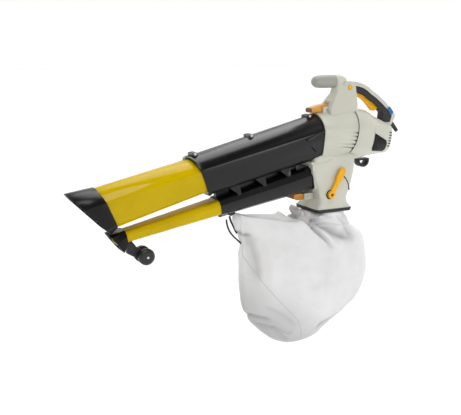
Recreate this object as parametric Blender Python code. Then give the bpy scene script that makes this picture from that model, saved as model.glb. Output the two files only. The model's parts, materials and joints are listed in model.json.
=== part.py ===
"""Leaf vacuum mulcher with its bag, modelled in metres with +Z up and the tubes pointing to -X.

Three empties carry the geometry: the tubes slope nose-down, the motor slopes tail-down and the
bag, diverter box and handles stand upright. Helper functions take millimetres, measured from where
the tubes' axis meets the housing, and HOLD moves the origin to the middle of the rear handle.
"""
import math

import bmesh
import bpy
from mathutils import Vector

MM = 0.001
TUBE_SLOPE = math.radians(12.5)
MOTOR_SLOPE = math.radians(-10.0)
MOTOR_ORIGIN = (118.0, 0.0, -1.0)
HOLD = (203.0, 0.0, 120.0)
GAP = 0.3
WALL = 3.0
ROUND = 32

# Upper (vacuum) tubes, along the sloping axis
NOZZLE_MOUTH = -794.0
NOZZLE_HEEL = -742.0
NOZZLE_JOINT = -733.0
MOUTH_LEAN = -0.63
JOINT_LEAN = -0.23
REAR_TUBE_FRONT = -439.0
LIP_LEAN = -0.2
REAR_TUBE_END = 18.0
FRONT_TUBE_END = -360.0
MOUTH_DUCT = {"top": 52.0, "crease": 12.0, "low": -66.0, "base": -81.0, "wide": 62.6, "narrow": 50.6}
FRONT_DUCT = {"top": 46.0, "crease": 12.0, "low": -58.0, "base": -70.0, "wide": 62.0, "narrow": 50.0}
REAR_DUCT = {"top": 53.5, "crease": 18.0, "low": -54.0, "base": -67.0, "wide": 67.0, "narrow": 56.0}
FRONT_RISE = 0.034
REAR_RISE = 0.024
SCREW_SEATS = (-431.0, -238.0, -24.0)
SCREW_ABOVE_SEAM = 2.6
SEAT_HALF = 20.0

# Lower (blower) tubes
BLOW_TIP_TOP = -96.5
BLOW_END_TOP = -88.0
BLOW_JOINT = -708.0
BLOW_SPLIT = -392.0
BLOW_END = -48.0
BLOW_TIP_BASE = -131.0
BLOW_SPLIT_BASE = -144.0
BLOW_END_BASE = -161.0
SLEEVE_FRONT = -66.0

# Fan, motor and cover, along the motor axis
FAN_CHAMBER_RADIUS = 70.0
IMPELLER_RADIUS = 64.0
COVER_LENGTH = 150.0
SEAM = -10.0

# Diverter box, selector and bag, upright
BOX_FLOOR = -235.7
PIVOT = (19.0, -189.0)
LEVER_ANGLE = math.radians(29.0)
FLAP_LENGTH = 76.0
COLLAR_THICK = 11.0
BAG_TOP = -247.3

# Handle, upright: outer edge of the spine from the pylon to the tail
SPINE_EDGE = (
    (98, 163), (118, 164), (138, 162), (158, 158), (176, 152), (194, 142), (210, 130),
    (230, 118), (248, 104), (262, 93), (275, 81), (290, 66), (303, 51), (305, 44),
)
SPINE_DEPTH = 12.5
GRIP_DEPTH = 31.0
SPINE_HALF = 14.0
HORN_AXIS = 164.5
TRIGGER_PIN = (132.0, 127.0)
TOP_LATCH = (26.0, 79.0)
BOTTOM_LATCH = (-42.0, -197.0)
TRIGGER_WELL = (
    (140, 100), (140, 138), (166, 134), (184, 128), (206, 117), (228, 99), (243, 89.5),
    (247, 80), (244, 66), (228, 50),
)
BOOT_START = (294.0, 29.0)
BOOT_END = (324.0, -6.0)

parts = bpy.data.collections.new("leaf_vacuum_mulcher")
cutters = bpy.data.collections.new("cutters")


def clear_scene():
    for obj in list(bpy.data.objects):
        bpy.data.objects.remove(obj)
    for collection in (parts, cutters):
        bpy.context.scene.collection.children.link(collection)


def frame(name, origin, slope):
    empty = bpy.data.objects.new(name, None)
    empty.location = (Vector(origin) - Vector(HOLD)) * MM
    empty.rotation_euler = (0.0, -slope, 0.0)
    parts.objects.link(empty)
    return empty


def material(name, color, roughness=0.45):
    made = bpy.data.materials.new(name)
    made.use_nodes = True
    shader = made.node_tree.nodes["Principled BSDF"]
    shader.inputs["Base Color"].default_value = (*color, 1.0)
    shader.inputs["Roughness"].default_value = roughness
    made.diffuse_color = (*color, 1.0)
    return made


def mesh_object(name, points, faces, parent, cutter=False):
    mesh = bpy.data.meshes.new(name)
    mesh.from_pydata([Vector(p) * MM for p in points], [], faces)
    shape = bmesh.new()
    shape.from_mesh(mesh)
    bmesh.ops.recalc_face_normals(shape, faces=shape.faces)
    shape.to_mesh(mesh)
    shape.free()
    obj = bpy.data.objects.new(name, mesh)
    obj.parent = parent
    (cutters if cutter else parts).objects.link(obj)
    if cutter:
        obj.hide_render = True
        obj.display_type = "WIRE"
    return obj


def loft(name, rings, parent, cutter=False):
    """One closed skin through rings of equal point count, with flat ends."""
    count = len(rings[0])
    points = [p for ring in rings for p in ring]
    faces = [list(range(count)), list(range(len(points) - count, len(points)))]
    for i in range(len(rings) - 1):
        for j in range(count):
            k = (j + 1) % count
            faces.append((i * count + j, i * count + k, (i + 1) * count + k, (i + 1) * count + j))
    return mesh_object(name, points, faces, parent, cutter)


def prism(name, outline, y0, y1, parent, cutter=False):
    """An outline of (x, z) points extruded along Y."""
    rings = [[(x, y, z) for x, z in outline] for y in (y0, y1)]
    return loft(name, rings, parent, cutter)


def box(name, low, high, parent, cutter=False):
    outline = ((low[0], low[2]), (high[0], low[2]), (high[0], high[2]), (low[0], high[2]))
    return prism(name, outline, low[1], high[1], parent, cutter)


def unit_circle(count):
    turn = 2 * math.pi / count
    return [(math.cos(i * turn), math.sin(i * turn)) for i in range(count)]


def disc(radius, x, count=ROUND, center=(0.0, 0.0)):
    turn = 2 * math.pi / count
    return [
        (x, center[0] + radius * math.sin(i * turn), center[1] + radius * math.cos(i * turn))
        for i in range(count)
    ]


def turned(name, profile, parent, cutter=False, count=ROUND, center=(0.0, 0.0)):
    """A solid of revolution about the X axis from (x, radius) steps."""
    return loft(name, [disc(r, x, count, center) for x, r in profile], parent, cutter)


def pin(name, x, z, radius, y0, y1, parent, cutter=False, count=16):
    """A cylinder along Y."""
    outline = [(x + radius * c, z + radius * s) for c, s in unit_circle(count)]
    return prism(name, outline, y0, y1, parent, cutter)


def boolean(obj, operation, others):
    for other in others:
        modifier = obj.modifiers.new(f"{operation.lower()}_{other.name}"[:60], "BOOLEAN")
        modifier.operation = operation
        modifier.solver = "EXACT"
        modifier.object = other
    return obj


def cut(obj, *others):
    return boolean(obj, "DIFFERENCE", others)


def join(obj, *others):
    return boolean(obj, "UNION", others)


def paint(made, *objects):
    for obj in objects:
        obj.data.materials.append(made)


def duct_ring(x, duct, grow=0.0, lean=0.0):
    """Round dome that meets flat sides in a crease, closing to a flat base; lean tips it per mm of height."""
    wide, narrow = duct["wide"] + grow, duct["narrow"] + grow
    rise = duct["top"] + grow - duct["crease"]
    radius = (wide**2 + rise**2) / (2 * rise)
    spread = math.asin(wide / radius)
    dome = 10
    points = []
    for i in range(dome + 1):
        angle = spread * (2 * i / dome - 1)
        points.append((radius * math.sin(angle), duct["top"] + grow + radius * (math.cos(angle) - 1)))
    base = duct["base"] - grow
    points += [(narrow, duct["low"]), (0.78 * narrow, base), (-0.78 * narrow, base), (-narrow, duct["low"])]
    return [(x + lean * z, y, z) for y, z in points]


def front_duct(x):
    """The smoked tube's section, whose underside rises towards the housing."""
    lift = FRONT_RISE * (x - NOZZLE_JOINT)
    return {**FRONT_DUCT, "low": FRONT_DUCT["low"] + lift, "base": FRONT_DUCT["base"] + 1.2 * lift}


def rear_duct(x):
    """The black tube's section, whose dome grows towards the housing."""
    return {**REAR_DUCT, "top": REAR_DUCT["top"] + REAR_RISE * (x - REAR_TUBE_FRONT)}


def screw_height(x):
    lip = 2.0 if x < REAR_TUBE_FRONT + 10 else 0.0
    return rear_duct(x)["top"] + SCREW_ABOVE_SEAM + lip


def slot_ring(x, top, base, half, grow=0.0):
    """Blower section: a flat top, sloping shoulders down to a crease, and nearly flat sides."""
    top, base, half = top + grow, base - grow, half + grow
    height = top - base
    upper = [(0.58, top), (0.86, top - 0.10 * height), (1.0, top - 0.36 * height)]
    lower = [(0.90, base + 0.12 * height), (0.62, base)]
    right = [(s * half, z) for s, z in upper + lower]
    left = [(-y, z) for y, z in reversed(right)]
    return [(x, y, z) for y, z in right + left]


def blow_top(x):
    """Height of the blower tube's flat top, which rises along the black tube."""
    share = max(0.0, (x - BLOW_SPLIT) / (BLOW_END - BLOW_SPLIT))
    return BLOW_TIP_TOP + share * (BLOW_END_TOP - BLOW_TIP_TOP)


def blow_base(x):
    """Height of the blower tube's underside, which falls towards the housing."""
    if x < BLOW_SPLIT:
        share = (x - BLOW_JOINT) / (BLOW_SPLIT - BLOW_JOINT)
        return BLOW_TIP_BASE + share * (BLOW_SPLIT_BASE - BLOW_TIP_BASE)
    share = (x - BLOW_SPLIT) / (BLOW_END - BLOW_SPLIT)
    return BLOW_SPLIT_BASE + share * (BLOW_END_BASE - BLOW_SPLIT_BASE)


def blow_half(x):
    return 29.0 + 17.0 * (x - BLOW_JOINT) / (BLOW_END - BLOW_JOINT)


def blow_ring(x, grow=0.0):
    return slot_ring(x, blow_top(x), blow_base(x), blow_half(x), grow)


def front_tubes():
    """The two smoked yellow tubes, open at both ends."""
    made = material("smoked_yellow", (0.52, 0.39, 0.0), 0.2)
    front = NOZZLE_MOUTH + 12.0
    stations = ((front, MOUTH_LEAN), (REAR_TUBE_FRONT - 30, 0.0), (FRONT_TUBE_END, 0.0))
    rings = [duct_ring(x, front_duct(x), 0, lean) for x, lean in stations]
    upper = loft("vacuum_tube_front", rings, tube_frame)
    stations = ((front - 60, MOUTH_LEAN), (FRONT_TUBE_END + 5, 0.0))
    bore = loft(
        "vacuum_tube_front_bore",
        [duct_ring(x, front_duct(x), -WALL, lean) for x, lean in stations],
        tube_frame,
        True,
    )
    stations = (BLOW_JOINT - 16, BLOW_SPLIT, BLOW_SPLIT + 60)
    lower = loft("blower_tube_front", [blow_ring(x) for x in stations], tube_frame)
    stations = (BLOW_JOINT - 30, BLOW_SPLIT, BLOW_SPLIT + 70)
    slot = loft("blower_tube_front_bore", [blow_ring(x, -WALL) for x in stations], tube_frame, True)
    cut(upper, bore)
    cut(lower, slot)
    paint(made, upper, lower)


def nozzles():
    """Black collars on the tube mouths; the vacuum one is cut at a long slant."""
    made = material("black_collar", (0.02, 0.02, 0.022))
    joint = front_duct(NOZZLE_JOINT)
    mouth = duct_ring(NOZZLE_MOUTH, MOUTH_DUCT, WALL + GAP, MOUTH_LEAN)
    upper = loft("vacuum_nozzle", [mouth, duct_ring(NOZZLE_JOINT, joint, WALL + GAP, JOINT_LEAN)], tube_frame)
    bore = loft(
        "vacuum_nozzle_bore",
        [
            duct_ring(NOZZLE_MOUTH - 80, MOUTH_DUCT, GAP, MOUTH_LEAN),
            duct_ring(NOZZLE_MOUTH, MOUTH_DUCT, GAP, MOUTH_LEAN),
            duct_ring(NOZZLE_JOINT + 9, front_duct(NOZZLE_JOINT + 9), GAP, JOINT_LEAN),
        ],
        tube_frame,
        True,
    )
    cut(upper, bore)
    hood = ((BLOW_JOINT - 48, -172, 36), (BLOW_JOINT - 14, -168, 36), (BLOW_JOINT, -150, 34))
    outer = [slot_ring(x, BLOW_TIP_TOP, base, half, WALL + GAP) for x, base, half in hood]
    outer.append(blow_ring(BLOW_JOINT + 14, WALL + GAP))
    lower = loft("blower_nozzle", outer, tube_frame)
    inner = [slot_ring(x, BLOW_TIP_TOP, base + 4, half, GAP) for x, base, half in hood]
    inner[0] = slot_ring(BLOW_JOINT - 60, BLOW_TIP_TOP, -169, 36, GAP)
    inner += [blow_ring(BLOW_JOINT + 14, GAP), blow_ring(BLOW_JOINT + 30, GAP)]
    heel = NOZZLE_HEEL
    slant = ((heel - 60, -60), (heel - 16, -60), (heel + 46, -190), (heel - 60, -190))
    cut(
        lower,
        loft("blower_nozzle_bore", inner, tube_frame, True),
        prism("blower_mouth_slant", slant, -60, 60, tube_frame, True),
    )
    paint(made, upper, lower)


def nozzle_wheel():
    """Two rollers that keep the mouth off the ground, either side of an arm under the blower nozzle."""
    x, z = -649.0, -192.0
    outline = (
        (-692, -133), (-678, -133.5), (-667, -158), (-645, -178), (-638, -192), (-645, -203),
        (-662, -203), (-699, -168),
    )
    arm = prism("wheel_bracket", outline, -8, 8, tube_frame)
    cut(arm, pin("wheel_bracket_bore", x, z, 4.3, -30, 30, tube_frame, True))
    tyre = material("wheel_grey", (0.05, 0.05, 0.05), 0.6)
    circle = unit_circle(20)
    for side, name in ((-1, "roller_wheel_left"), (1, "roller_wheel_right")):
        profile = ((9, 21), (12, 25), (24, 25), (30, 19), (32, 12))
        rings = [[(x + r * c, side * y, z + r * s) for c, s in circle] for y, r in profile]
        wheel = loft(name, rings, tube_frame)
        cut(wheel, pin(f"{name}_bore", x, z, 4.3, -40, 40, tube_frame, True))
        paint(tyre, wheel)
    axle = pin("wheel_axle", x, z, 4.0, -34, 34, tube_frame)
    paint(material("bracket_black", (0.02, 0.02, 0.022)), arm)
    paint(material("axle_steel", (0.6, 0.6, 0.6), 0.3), axle)


def rear_cutters():
    """Bores, screw holes and the seats of the front tubes, shared by both black halves."""
    bore = [duct_ring(x, rear_duct(x), -WALL) for x in (REAR_TUBE_FRONT + 24, REAR_TUBE_END)]
    bore.append(duct_ring(40, rear_duct(REAR_TUBE_END), -WALL))
    seat = [duct_ring(x, front_duct(x), GAP) for x in (REAR_TUBE_FRONT - 30, FRONT_TUBE_END + 2)]
    slot = [blow_ring(x, GAP) for x in (BLOW_SPLIT - 10, BLOW_SPLIT, BLOW_END + 10)]
    made = [
        loft("rear_vacuum_bore", bore, tube_frame, True),
        loft("front_tube_seat", seat, tube_frame, True),
        loft("rear_blower_bore", slot, tube_frame, True),
    ]
    for i, x in enumerate(SCREW_SEATS):
        made.append(pin(f"tube_screw_hole_{i}", x, screw_height(x), 2.4, -30, 30, tube_frame, True))
    return made


def rear_ribs():
    """The web that ties both ducts together, its tabs and the screw bosses on the top seam."""
    made = [box("tube_web", (-388, -7, -100), (-96, 7, -63), tube_frame, True)]
    for i, x in enumerate((-330, -240, -150)):
        tab = ((x - 26, -64), (x, -94), (x, -99), (x + 12, -99), (x + 12, -64))
        made.append(prism(f"web_tab_{i}", tab, -40, 40, tube_frame, True))
    for i, x in enumerate(SCREW_SEATS):
        z = screw_height(x)
        half = SEAT_HALF
        right = ((half - 5, z + 4), (half, z + 1), (half, z - 9))
        section = right + tuple((-y, height) for y, height in reversed(right))
        rings = [[(end, y, height) for y, height in section] for end in (x - 7, x + 7)]
        made.append(loft(f"screw_boss_{i}", rings, tube_frame, True))
    return made


def split(half, side, parent, name):
    """Keeps only the half on one side of the parting plane."""
    low, high = (-0.15, 400) if side < 0 else (-400, 0.15)
    return cut(half, box(name, (-900, low, -500), (500, high, 500), parent, True))


def rear_tubes():
    """The black double tube, moulded as two halves that screw together along the top."""
    made = material("black_tube", (0.022, 0.023, 0.026), 0.4)
    holes, ribs = rear_cutters(), rear_ribs()
    lip = (
        (REAR_TUBE_FRONT, 2, LIP_LEAN), (REAR_TUBE_FRONT + 8, 2, LIP_LEAN),
        (REAR_TUBE_FRONT + 10, 0, LIP_LEAN), (REAR_TUBE_END, 0, 0.0),
    )
    for side, name in ((-1, "rear_tube_left"), (1, "rear_tube_right")):
        half = loft(name, [duct_ring(x, rear_duct(x), grow, lean) for x, grow, lean in lip], tube_frame)
        lower = [blow_ring(x, WALL + GAP) for x in (BLOW_SPLIT, BLOW_END)]
        join(half, loft(f"{name}_blower", lower, tube_frame, True), *ribs)
        cut(half, *holes)
        split(half, side, tube_frame, f"{name}_parting")
        paint(made, half)


def screw(name, x, z, parent, made, half, radius=2.1):
    """A cross-drilled machine screw lying along Y."""
    head = ((-half - 3, 3.2), (-half - 2.4, 4.2), (-half - GAP, 4.2))
    shank = ((-half - GAP, radius), (half - 2, radius))
    rings = [[(x + r * c, y, z + r * s) for c, s in unit_circle(12)] for y, r in head + shank]
    body = loft(name, rings, parent)
    cut(body, pin(f"{name}_socket", x, z, 1.6, -half - 5, -half - 1.4, parent, True, 6))
    paint(made, body)


def tube_hardware():
    """Screws along the top seam and the hook that carries the bag's elastic."""
    steel = material("screw_steel", (0.25, 0.25, 0.26), 0.35)
    for name, x in zip(("front", "middle", "rear"), SCREW_SEATS):
        screw(f"tube_screw_{name}", x, screw_height(x), tube_frame, steel, SEAT_HALF)
    outline = ((-390, -148.8), (-336, -151.8), (-336, -163), (-352, -165), (-362, -158), (-390, -157))
    hook = prism("bag_hook", outline, -6, 6, tube_frame)
    cut(hook, pin("bag_hook_eye", -345, -158, 3.0, -12, 12, tube_frame, True))
    screw("housing_screw", 94, 158, upright, steel, 18.4)
    paint(material("hook_black", (0.02, 0.02, 0.022)), hook)


def turn_about_y(point, slope, sign=1):
    x, y, z = point
    angle = sign * slope
    return (x * math.cos(angle) - z * math.sin(angle), y, x * math.sin(angle) + z * math.cos(angle))


def motor_to_tube(point):
    """A point of the motor frame written in the tube frame."""
    x, y, z = turn_about_y(point, MOTOR_SLOPE)
    x, y, z = x + MOTOR_ORIGIN[0], y + MOTOR_ORIGIN[1], z + MOTOR_ORIGIN[2]
    return turn_about_y((x, y, z), TUBE_SLOPE, -1)


def resampled(ring, count=ROUND):
    """The ring's outline met at equal angles about the axis, so that it can join a circle."""
    lean = math.tan(TUBE_SLOPE) if abs(ring[0][0] - ring[5][0]) > 1e-6 else 0.0
    x0 = ring[0][0] - lean * ring[0][2]
    points = []
    for i in range(count):
        angle = 2 * math.pi * i / count
        dy, dz = math.sin(angle), math.cos(angle)
        reach = 0.0
        for a, b in zip(ring, ring[1:] + ring[:1]):
            ey, ez = b[1] - a[1], b[2] - a[2]
            cross = dy * ez - dz * ey
            if abs(cross) < 1e-9:
                continue
            along = (a[1] * ez - a[2] * ey) / cross
            share = (a[1] * dz - a[2] * dy) / cross
            if along > 0 and -1e-6 <= share <= 1 + 1e-6:
                reach = max(reach, along)
        points.append((x0 + lean * reach * dz, reach * dy, reach * dz))
    return points


def motor_circle(radius, x):
    return [motor_to_tube(p) for p in disc(radius, x)]


def rounded_ring(x0, x1, half, z, radius=10.0):
    """A level rectangle with two-step rounded corners."""
    points = []
    for cx, cy, start in ((x1, half, 0), (x0, half, 90), (x0, -half, 180), (x1, -half, 270)):
        sx, sy = (-1 if cx == x1 else 1), (-1 if cy == half else 1)
        for turn in (0, 45, 90):
            angle = math.radians(start + turn)
            points.append((
                cx + sx * radius + radius * math.cos(angle),
                cy + sy * radius + radius * math.sin(angle),
                z,
            ))
    return points


def super_ring(x, a, b, power, grow=0.0):
    points = []
    for i in range(ROUND):
        angle = 2 * math.pi * i / ROUND
        s, c = math.sin(angle), math.cos(angle)
        y = math.copysign(abs(s) ** (2 / power), s) * (a + grow)
        z = math.copysign(abs(c) ** (2 / power), c) * (b + grow)
        points.append((x, y, z))
    return points


def cover_skin(name, grow, front, rear, cutter=True):
    """The bell over the fan and the tapering motor cover behind it."""
    stations = (
        (front, 82, 82, 2.0), (40, 82, 82, 2.0), (50, 80, 80.5, 2.05),
        (60, 73, 76, 2.2), (68, 65, 70.5, 2.5), (rear, 48, 49, 2.8),
    )
    rings = [super_ring(x, a, b, power, grow) for x, a, b, power in stations]
    return loft(name, rings, motor_frame, cutter)


def offset_edge(depth, first=0):
    """The spine's outer edge moved inwards by a depth."""
    moved = []
    for i in range(first, len(SPINE_EDGE)):
        x0, z0 = SPINE_EDGE[max(i - 1, 0)]
        x1, z1 = SPINE_EDGE[min(i + 1, len(SPINE_EDGE) - 1)]
        length = math.hypot(x1 - x0, z1 - z0)
        x, z = SPINE_EDGE[i]
        moved.append((x + depth * (z1 - z0) / length, z - depth * (x1 - x0) / length))
    return moved


def pylon_rings(grow=0.0):
    stations = (
        (58, 27, 132, 43), (75, 28, 134, 40), (92, 36, 139, 33), (127, 61, 141, 22),
        (148, 66, 140, 18.5), (164, 70, 126, 16),
    )
    return [rounded_ring(x0 - grow, x1 + grow, half + grow, z, 7) for z, x0, x1, half in stations]


def horn_rings(stations):
    """Rings across X for the forward-pointing front grip."""
    rings = []
    for x, radius in stations:
        rings.append([(x, 1.02 * p[1], p[2]) for p in disc(radius, x, 20, (0.0, HORN_AXIS))])
    return rings


def box_rings(inset):
    """The upright diverter box: narrow at the neck, waisted, then flared to the bag collar."""
    stations = (
        (-40, 10, 108, 46), (-72, -40, 120, 55), (-120, -44, 115, 58), (-170, -24, 102, 58),
        (-203, -15, 88, 59), (-219, -18, 90, 61), (BOX_FLOOR, -31, 101, 66),
    )
    return [rounded_ring(x0 + inset, x1 - inset, half - inset, z, 12) for z, x0, x1, half in stations]


def housing_joined():
    """Everything that the light shell is made from, apart from the neck itself."""
    sleeve = [blow_ring(x, WALL + 5) for x in (SLEEVE_FRONT, -20)]
    inner = list(reversed(offset_edge(SPINE_DEPTH)))
    tail = ((304, 46), (303, 38), (290, 17), (243, 17), (243, 26), (284, 26), (290, 46))
    made = [
        loft("diverter_box", box_rings(0), upright, True),
        loft("blower_sleeve", sleeve, tube_frame, True),
        loft("pylon", pylon_rings(), upright, True),
        loft("horn_collar", horn_rings(((104, 13), (84, 21), (64, 20.5))), upright, True),
        loft("horn_core", horn_rings(((80, 11), (-8, 11))), upright, True),
        prism("handle_spine", list(SPINE_EDGE) + inner, -SPINE_HALF, SPINE_HALF, upright, True),
        prism("handle_tail", tail, -SPINE_HALF, SPINE_HALF, upright, True),
        box("top_latch_block", (12, -21, 56), (48, 21, 86), upright, True),
        box("bottom_latch_block", (-52, -21, -207), (-6, 21, -187), upright, True),
        loft("ledge", [slot_ring(x, -69, -104, 58) for x in (SLEEVE_FRONT, 10)], tube_frame, True),
    ]
    for side, name in ((-1, "left"), (1, "right")):
        y0, y1 = sorted((side * 50, side * 62))
        made.append(pin(f"lever_boss_{name}", *PIVOT, 17, y0, y1, upright, True, 20))
    return made


def housing_cutters():
    """Air path, sockets, cavities and clearances, shared by both housing halves."""
    socket = [duct_ring(x, rear_duct(x), 0.5) for x in (-110, REAR_TUBE_END + 0.5)]
    passage = [
        resampled(duct_ring(REAR_TUBE_END - 2, rear_duct(REAR_TUBE_END), -WALL)),
        motor_circle(50, -39),
    ]
    blow_socket = [blow_ring(x, WALL + 0.8) for x in (SLEEVE_FRONT - 8, BLOW_END + 0.5)]
    blow_pass = [blow_ring(x, GAP) for x in (BLOW_END - 2, 12)]
    cavity = [
        rounded_ring(x0, x1, half, z, 9)
        for z, x0, x1, half in (
            (-96, -36, 110, 54), (-120, -40, 111, 54), (-170, -20, 98, 54),
            (-203, -11, 84, 55), (-219, -14, 86, 57), (-246, -27, 97, 62),
        )
    ]
    spine = offset_edge(3.2)[:-1] + list(reversed(offset_edge(SPINE_DEPTH - 3)[:-1]))
    wire_way = ((88, 70), (128, 70), (134, 100), (134, 128), (140, 152), (86, 158), (78, 146), (92, 100))
    made = [
        loft("vacuum_socket", socket, tube_frame, True),
        loft("inlet_passage", passage, tube_frame, True),
        turned("fan_chamber", ((-40.5, FAN_CHAMBER_RADIUS), (6, FAN_CHAMBER_RADIUS)), motor_frame, True),
        box("throat", (56, -42, -104), (106, 42, -50), upright, True),
        loft("diverter_cavity", cavity, upright, True),
        loft("blower_socket", blow_socket, tube_frame, True),
        loft("blower_passage", blow_pass, tube_frame, True),
        prism("spine_hollow", spine, -SPINE_HALF + 3, SPINE_HALF - 3, upright, True),
        prism("pylon_hollow", wire_way, -12, 12, upright, True),
        cover_skin("cover_clearance", GAP, SEAM - 0.1, COVER_LENGTH + 0.5),
        box("top_latch_slot", (-40, -14.6, 66), (44, 14.6, 112), upright, True),
        box("bottom_latch_slot", (-120, -14.6, -240), (-30, 14.6, -170), upright, True),
        pin("top_latch_bore", *TOP_LATCH, 2.8, -40, 40, upright, True, 12),
        pin("bottom_latch_bore", *BOTTOM_LATCH, 2.8, -40, 40, upright, True, 12),
        pin("flap_bore", *PIVOT, 5.6, -80, 80, upright, True),
        box("trigger_slot", (120, -7, 112), (150, 7, 136), upright, True),
        pin("trigger_pin_bore", *TRIGGER_PIN, 2.3, -17, 17, upright, True, 12),
        sleeve_between("boot_bore", (280, 45.3), (326, -8.3), 7.9, 7.9, True),
        pin("housing_screw_bore", 94, 158, 2.4, -40, 40, upright, True, 12),
        pin("lock_bore", 114, 144.5, 7.9, -40, 0, upright, True),
    ]
    return made + neck_grooves()


def neck_grooves():
    """Five tapering cooling grooves on each side of the neck, deepest at the seam."""
    made = []
    for i in range(5):
        z = 4.0 - 12.5 * i
        surface = math.sqrt(80.0**2 - z**2)
        for side, name in ((-1, "left"), (1, "right")):
            rings = []
            far = side * 95.0
            for x, depth, half in ((SEAM - 50, -1.0, 0.8), (SEAM + 2, 6.0, 2.8)):
                y = side * (surface - depth)
                rings.append([(x, y, z - half), (x, y, z + half), (x, far, z + half), (x, far, z - half)])
            made.append(loft(f"groove_{name}_{i}", rings, motor_frame, True))
    return made


def housing():
    """The light grey shell with neck, diverter box, pylon and handle spine, parted down the middle."""
    made = material("housing_grey", (0.74, 0.73, 0.66), 0.45)
    lean = math.tan(TUBE_SLOPE)
    neck = [
        resampled(duct_ring(-10.2, rear_duct(-10.2), 5, lean)),
        motor_circle(79.5, SEAM),
    ]
    joined, holes = housing_joined(), housing_cutters()
    for side, name in ((-1, "housing_left"), (1, "housing_right")):
        half = loft(name, neck, tube_frame)
        join(half, *joined)
        cut(half, *holes)
        split(half, side, upright, f"{name}_parting")
        paint(made, half)


def motor_cover():
    made = material("cover_grey", (0.74, 0.73, 0.66), 0.45)
    cover = cover_skin("motor_cover", 0, SEAM + 0.4, COVER_LENGTH, False)
    cut(cover, cover_skin("motor_cover_hollow", -3.5, SEAM - 6, COVER_LENGTH + 2))
    paint(made, cover)
    for side, name in ((-1, "left"), (1, "right")):
        outline = ((64, 12), (125, -6), (131, -16), (131, -37), (126, -44), (76, -47), (68, -38))
        far, near = side * 110, side * 20
        label = prism(f"label_{name}", outline, min(far, near), max(far, near), motor_frame)
        boolean(label, "INTERSECT", [cover_skin(f"label_skin_{name}", 1.5, -2, COVER_LENGTH + 2)])
        cut(label, cover_skin(f"label_seat_{name}", 0.35, -3, COVER_LENGTH + 4))
        paint(material(f"label_black_{name}", (0.02, 0.02, 0.03), 0.3), label)


def rear_grille():
    """Slotted tail plate with the socket for the rear bearing."""
    grille = loft(
        "rear_grille",
        [super_ring(x, 44.0, 45.0, 2.8) for x in (COVER_LENGTH - 6, COVER_LENGTH)],
        motor_frame,
    )
    socket = turned("grille_socket", ((117, 15), (COVER_LENGTH - 4, 15)), motor_frame, True, 24)
    join(grille, socket)
    made = [turned("grille_socket_bore", ((110, 11.4), (132, 11.4)), motor_frame, True, 24)]
    for i in range(6):
        z = -30 + 12 * i
        reach = 34 if abs(z) > 16 else 38
        inner = 20
        for side, name in ((-1, "left"), (1, "right")):
            y0, y1 = sorted((side * inner, side * reach))
            low, high = (COVER_LENGTH - 12, y0, z - 2.5), (COVER_LENGTH + 5, y1, z + 2.5)
            made.append(box(f"grille_slot_{name}_{i}", low, high, motor_frame, True))
    cut(grille, *made)
    paint(material("grille_grey", (0.70, 0.69, 0.63), 0.5), grille)


def handle_trim():
    """Front grip, black underside of the rear handle and its accent, trigger and lock-off button."""
    grip = loft(
        "front_grip",
        horn_rings(((63.6, 20.2), (40, 20.8), (8, 20.4), (-8, 17.5), (-16, 11), (-18.5, 5))),
        upright,
    )
    cut(grip, loft("front_grip_bore", horn_rings(((80, 11.35), (-8.4, 11.35))), upright, True))
    paint(material("grip_grey", (0.45, 0.45, 0.42), 0.7), grip)
    outer, inner = offset_edge(SPINE_DEPTH + GAP, 1), offset_edge(GRIP_DEPTH, 1)
    outline = outer[:-1] + [(289, 46), (283, 26.4), (244, 26.4), (252, 38)] + list(reversed(inner[:-3]))
    beside_tail = ((310, 50), (303, 14), (240, 14), (240, 26.3), (283.6, 26.3), (289.4, 45.6), (296, 51.5))
    overmould = prism("grip_overmould", outline, -15.5, 15.5, upright)
    cut(
        overmould,
        box("overmould_front", (90, -40, 60), (141.4, 40, 170), upright, True),
        prism("trigger_well", TRIGGER_WELL, -7, 7, upright, True),
        prism("tail_clearance", beside_tail, -20, 20, upright, True),
        cover_skin("overmould_clearance", 0.6, -2, 172),
    )
    flash = ((268, 72), (279, 78), (296, 59), (288, 50), (281, 54))
    accent = prism("grip_accent", flash, -16.9, -15.8, upright)
    paint(material("overmould_black", (0.02, 0.02, 0.022), 0.6), overmould)
    paint(material("accent_blue", (0.02, 0.12, 0.4), 0.5), accent)


def controls():
    """Trigger on its pin, the switch it works and the lock-off button."""
    outline = (
        (124, 121), (144, 118), (160, 112), (176, 103), (198, 82), (213, 66), (223, 65), (235, 72),
        (236, 77), (221, 88), (202, 104), (183, 116), (164, 122), (146, 127), (136, 133), (127, 132),
    )
    trigger = prism("trigger", outline, -6.4, 6.4, upright)
    cut(trigger, pin("trigger_bore", *TRIGGER_PIN, 2.4, -12, 12, upright, True, 12))
    axle = pin("trigger_pin", *TRIGGER_PIN, 2.0, -15, 15, upright, False, 12)
    switch = box("switch", (98, -9, 112), (119, 9, 134), upright)
    button = loft(
        "lock_off_button",
        [
            [(114 + r * c, y, 144.5 + r * s) for c, s in unit_circle(16)]
            for y, r in ((-23, 5.5), (-21.5, 7.5), (-8, 7.5))
        ],
        upright,
    )
    paint(material("control_yellow", (0.9, 0.45, 0.0), 0.4), trigger)
    paint(material("button_yellow", (0.9, 0.6, 0.02), 0.4), button)
    paint(material("switch_black", (0.03, 0.03, 0.03), 0.5), switch)
    paint(material("trigger_pin_steel", (0.6, 0.6, 0.6), 0.3), axle)


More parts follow.
